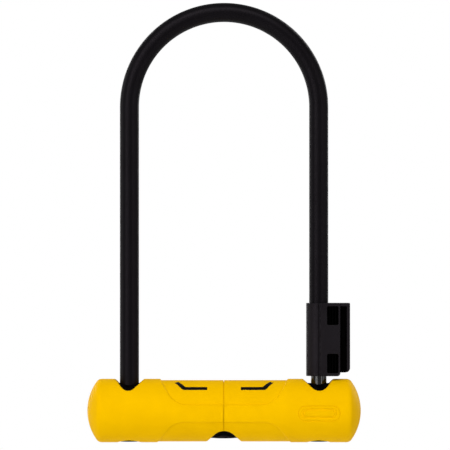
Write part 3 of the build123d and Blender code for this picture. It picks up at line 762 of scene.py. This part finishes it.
def bar():
    """The hardened bar, with chamfered ends and a notch for each bolt."""
    start, end, bevel = LEG_END_Z, right_leg(LEG_END_Z), 1.2
    outline = [(start, 0), (start, CORE_R - bevel), (start + bevel, CORE_R)]
    outline += [(end - bevel, CORE_R), (end, CORE_R - bevel), (end, 0)]
    shape = turned(divided(outline, SHACKLE_STEP), about_shackle, SHACKLE_SIDES, closed=False)
    half = BOLT_R + 0.35
    notches = [
        block(sorted((side * (LEG_X - CORE_R - 1), side * (LEG_X + 0.25))), (-FAR, FAR), (-half, half))
        for side in (-1, 1)
    ]
    cut(shape, *notches)
    place_piece(
        shape, "hardened_bar", "shackle", BLACK_STEEL, "blackened_steel", "shackle_bar", sharp_deg=30
    )


# --- adapter ---

PLATE_WINDOWS = ((55.1, 67.1), (24.2, 36.6))
WINDOW_X = (5.2, 12.5)
WINDOW_DEPTH = 6.2
SPLIT_GAP = 0.1
SCREW_X = 8.4
SCREW_Z = (41.6, 50.1)
NECK_HALF_Y = 3.0
NECK_X = 17.85
TONGUE_X = 11.0
TOP_FRAME = 1.9
TONGUE_SLOT_IN = 0.95
TONGUE_IN = 1.0
CLAMP_CORNER = 2.0
CLAMP_LIP = 2.6
WINDOW_BEND = 0.9
RIB_COUNT = 3
RIB_HALF = 0.25
RIB_SET_BACK = 1.5
RIB_PITCH = 1.8
SCREW_HOLE_R = 1.3
SCREW_HOLE_Y = (-5.5, 6.5)
SCREW_HEAD_R = 2.75
SCREW_HEAD_DEPTH = 2.2
RAIL_FOOT = 3.2
FLANGE_BENDS = [2.5, 2.5, 0.4, 0.4]
CLAMP_VOXEL = FINE_VOXEL * 1.25


def outer_corner_cut(right, low, bend, steps):
    """The cutter that rounds a lower outer corner, seen from the front."""
    turns = [math.pi / 2 * i / steps for i in range(steps + 1)]
    arc = [(right - bend + bend * math.sin(a), low + bend - bend * math.cos(a)) for a in turns]
    arc += [(right + 1, low + bend), (right + 1, low - 1), (right - bend, low - 1)]
    return prism(arc, -FAR, FAR, along_y)


def adapter_half(front):
    """The front or back half of the clamp, with its windows, screw holes and rounded lower corner."""
    way = -1 if front else 1
    valley_x, valley_half, valley_depth = 0.2, 1.0, 1.0
    edge = way * SLEEVE_R
    arc_end = math.degrees(math.acos((valley_half - valley_x) / SLEEVE_R))
    outline = [(BODY_X, way * SPLIT_GAP / 2)]
    outline += [
        (BODY_X, edge - way * 0.5),
        (BODY_X - 0.15, edge - way * 0.15),
        (BODY_X - 0.5, edge),
        (valley_x + valley_half, edge),
        (valley_x, edge - way * valley_depth),
    ]
    steps = 40
    for i in range(steps + 1):
        angle = math.radians(180 - arc_end + (arc_end - 1) * i / steps)
        outline.append((SLEEVE_R * math.cos(angle), way * SLEEVE_R * math.sin(angle)))
    outline.append((-SLEEVE_R, way * SPLIT_GAP / 2))
    shifted = [(LEG_X + x, y) for x, y in outline]
    low, high = ADAPTER_Z
    body = prism(shifted, low, high, along_z)
    right = LEG_X + BODY_X
    cutters = [
        z_bar(GRIP_R + FIT, LEG_X, low + CLAMP_LIP, high + 1),
        z_bar(CORE_R + RUNNING_GAP, LEG_X, low - 1, high),
        outer_corner_cut(right, low, CLAMP_CORNER, 10),
    ]
    ribs = []
    for z0, z1 in PLATE_WINDOWS:
        x0, x1 = LEG_X + WINDOW_X[0], LEG_X + WINDOW_X[1]
        rib_y = sorted((edge - way * RIB_SET_BACK, edge - way * (WINDOW_DEPTH + 0.3)))
        for i in range(RIB_COUNT):
            rib_x = x0 + RIB_PITCH + i * RIB_PITCH
            ribs.append(block((rib_x - RIB_HALF, rib_x + RIB_HALF), rib_y, (z0 - 0.2, z1 + 0.2)))
        window = rounded([(x0, z0), (x1, z0), (x1, z1), (x0, z1)], [WINDOW_BEND] * 4)
        cutters.append(prism(window, *sorted((edge + way, edge - way * WINDOW_DEPTH)), along_y))
    slot_y = (-NECK_HALF_Y + TONGUE_SLOT_IN, NECK_HALF_Y - TONGUE_SLOT_IN)
    cutters.append(block((LEG_X + TONGUE_X - FIT, right + 1), slot_y, (RAIL_Z[0] + 2, high - 2)))
    for z in SCREW_Z:
        cutters.append(y_bar(SCREW_HOLE_R, LEG_X + SCREW_X, z, *SCREW_HOLE_Y))
        if not front:
            head_y = (SLEEVE_R - SCREW_HEAD_DEPTH, FAR)
            cutters.append(y_bar(SCREW_HEAD_R, LEG_X + SCREW_X, z, *head_y))
    body = soften(join(cut(body, *cutters), *ribs), CLAMP_VOXEL, 3)
    side = "front" if front else "back"
    place_piece(body, f"clamp_{side}", "shackle", CLAMP, "black_plastic", f"adapter_{side}")


def rail():
    """The T-shaped rail: outer flange with a rounded foot, neck, top frame and the bracket's catch."""
    low, high = RAIL_Z
    outer, inner = LEG_X + RAIL_X, LEG_X + NECK_X
    flange_corners = [(-SLEEVE_R, low), (SLEEVE_R, low), (SLEEVE_R, high), (-SLEEVE_R, high)]
    flange = prism(rounded(flange_corners, FLANGE_BENDS), inner, outer, lambda u, v, t: (t, u, v))
    body_right = LEG_X + BODY_X + FIT
    neck = block((body_right, inner + 0.5), (-NECK_HALF_Y, NECK_HALF_Y), (low, high))
    tongue_y, tongue_z = NECK_HALF_Y - TONGUE_IN, (low + 2 + FIT, high - 2 - FIT)
    tongue = block((LEG_X + TONGUE_X, body_right + 0.5), (-tongue_y, tongue_y), tongue_z)
    cap = block((body_right, inner + 0.5), (-SLEEVE_R, SLEEVE_R), (high - TOP_FRAME, high))
    catch_x, catch_y = (body_right + 0.6, inner - 0.9), -NECK_HALF_Y - 1.7
    catch_low, catch_high = 41.3, 53.0
    ramp = [
        (-NECK_HALF_Y + 0.5, catch_low),
        (catch_y, catch_low + 4.5),
        (catch_y, catch_low + 6.0),
        (-NECK_HALF_Y + 0.5, catch_high),
    ]
    catch = prism(ramp, *catch_x, lambda u, v, t: (t, u, v))
    foot_cut = outer_corner_cut(outer, low, RAIL_FOOT, 12)
    shape = soften(cut(join(flange, neck, tongue, cap, catch), foot_cut), CLAMP_VOXEL, 3)
    place_piece(shape, "bracket_rail", "shackle", CLAMP, "black_plastic", "adapter_rail")


# --- kept CAD nodes ---


def dress_frame_nodes():
    """Give every CAD node the material of its slot; the ones down in the crossbar's holes get a darker,
    duller black instead, as painted shade.
    """
    slots = {entry["node"]: entry["material_slot"] for entry in frame["record"]["subparts"]}
    # the bushes and the liner sit in the crossbar's holes and get painted shade
    deep = ("left_bush", "right_bush", "liner_sleeve")
    for name, obj in NODES.items():
        material = PAINTED_SHADE_BLACK if name in deep else MATERIALS[slots[name]]
        for index in range(len(obj.data.materials)):
            obj.data.materials[index] = material


# --- stage ---

ROOM_LIGHT = 0.3
FLOOR_LIFT = 0.5
FLOOR_HALF_M = 6.0
FLOOR_DROP_M = 0.45
CAMERA_DISTANCE_M = 2.5
CAMERA_SEES_MM = 288.9
CAMERA_AIM_X = 0.6
CAMERA_AIM_Z = 119.1
# name, azimuth, elevation, distance in metres, size in metres, watts
LAMPS = (
    ("key", -38, 12, 1.5, (0.35, 1.3), 6.5),
    ("strip", -18, 8, 1.5, (0.1, 1.3), 2.2),
    ("fill", 42, 8, 1.5, (0.14, 1.3), 2.7),
    ("top", -5, 50, 1.4, (1.2, 0.6), 9.0),
    ("low", 5, -40, 1.4, (1.2, 0.5), 0.8),
    ("left_side", -100, 5, 1.5, (0.8, 1.2), 4.2),
    ("right_side", 72, 5, 1.5, (0.8, 1.2), 2.2),
    ("back_left", -150, 12, 1.5, (0.3, 1.3), 4.0),
    ("back_right", 145, 20, 1.5, (0.3, 1.3), 5.0),
)


def stage_floor():
    """A pale floor, out of the main view, that looks brighter than it shines."""
    half, drop = FLOOR_HALF_M, FLOOR_DROP_M
    corners = [(-half, -half, -drop), (half, -half, -drop), (half, half, -drop), (-half, half, -drop)]
    floor = mesh_object("floor", corners, [[0, 1, 2, 3]])
    graph = Graph("floor_white")
    pale, paler = (0.93, 0.93, 0.93), (0.95, 0.95, 0.95)
    graph.set(Base_Color=graph.ramp(graph.noise(3.0), (0.3, pale), (0.7, paler)))
    seen = graph.node("ShaderNodeLightPath").outputs["Is Camera Ray"]
    graph.set(Roughness=0.9, Specular_IOR_Level=0.0, Emission_Color=(1, 1, 1, 1))
    graph.set(Emission_Strength=graph.span(seen, 0.0, 1.0, 0.0, FLOOR_LIFT))
    floor.data.materials.append(graph.material)


def stage_world():
    """A white surrounding that the camera sees in full and that lights the lock only faintly."""
    world = bpy.data.worlds.new("studio")
    bpy.context.scene.world = world
    world.use_nodes = True
    background = world.node_tree.nodes["Background"]
    background.inputs["Color"].default_value = (1, 1, 1, 1)
    path = world.node_tree.nodes.new("ShaderNodeLightPath")
    strength = world.node_tree.nodes.new("ShaderNodeMapRange")
    strength.inputs["To Min"].default_value = ROOM_LIGHT
    strength.inputs["To Max"].default_value = 1.0
    world.node_tree.links.new(path.outputs["Is Camera Ray"], strength.inputs["Value"])
    world.node_tree.links.new(strength.outputs["Result"], background.inputs["Strength"])


def stage_lamps():
    """The lamps, all turned to the middle of the lock."""
    middle = Vector((0, 0, sum(corner.z for corner in CAD_BOUNDS) / 2))
    for name, azimuth, elevation, distance, size, power in LAMPS:
        a, e = math.radians(azimuth), math.radians(elevation)
        away = Vector((math.sin(a) * math.cos(e), -math.cos(a) * math.cos(e), math.sin(e)))
        data = bpy.data.lights.new(name, "AREA")
        data.shape = "RECTANGLE"
        data.size, data.size_y = size
        data.energy = power
        lamp = bpy.data.objects.new(name, data)
        bpy.context.scene.collection.objects.link(lamp)
        lamp.location = middle + away * distance
        lamp.rotation_mode = "QUATERNION"
        lamp.rotation_quaternion = (-away).to_track_quat("-Z", "Y")
        lamp.visible_camera = False


def stage_camera():
    """The camera, level and square to the front."""
    aim = Vector((CAMERA_AIM_X * MM, 0, AXIS_Z_M + CAMERA_AIM_Z * MM))
    data = bpy.data.cameras.new("camera")
    data.sensor_width = 36.0
    data.lens = data.sensor_width * CAMERA_DISTANCE_M / (CAMERA_SEES_MM * MM)
    data.dof.use_dof = False
    camera = bpy.data.objects.new("camera", data)
    bpy.context.scene.collection.objects.link(camera)
    camera.location = aim + Vector((0, -CAMERA_DISTANCE_M, 0))
    camera.rotation_euler = (math.pi / 2, 0, 0)
    bpy.context.scene.camera = camera
    bpy.context.scene.view_settings.view_transform = "Standard"


dress_frame_nodes()
for side in (-1, 1):
    cover(side)
inlays()
badge()
base_plugs()
bezel()
coat()
bar()
adapter_half(True)
adapter_half(False)
rail()
stage_floor()
stage_world()
stage_lamps()
stage_camera()
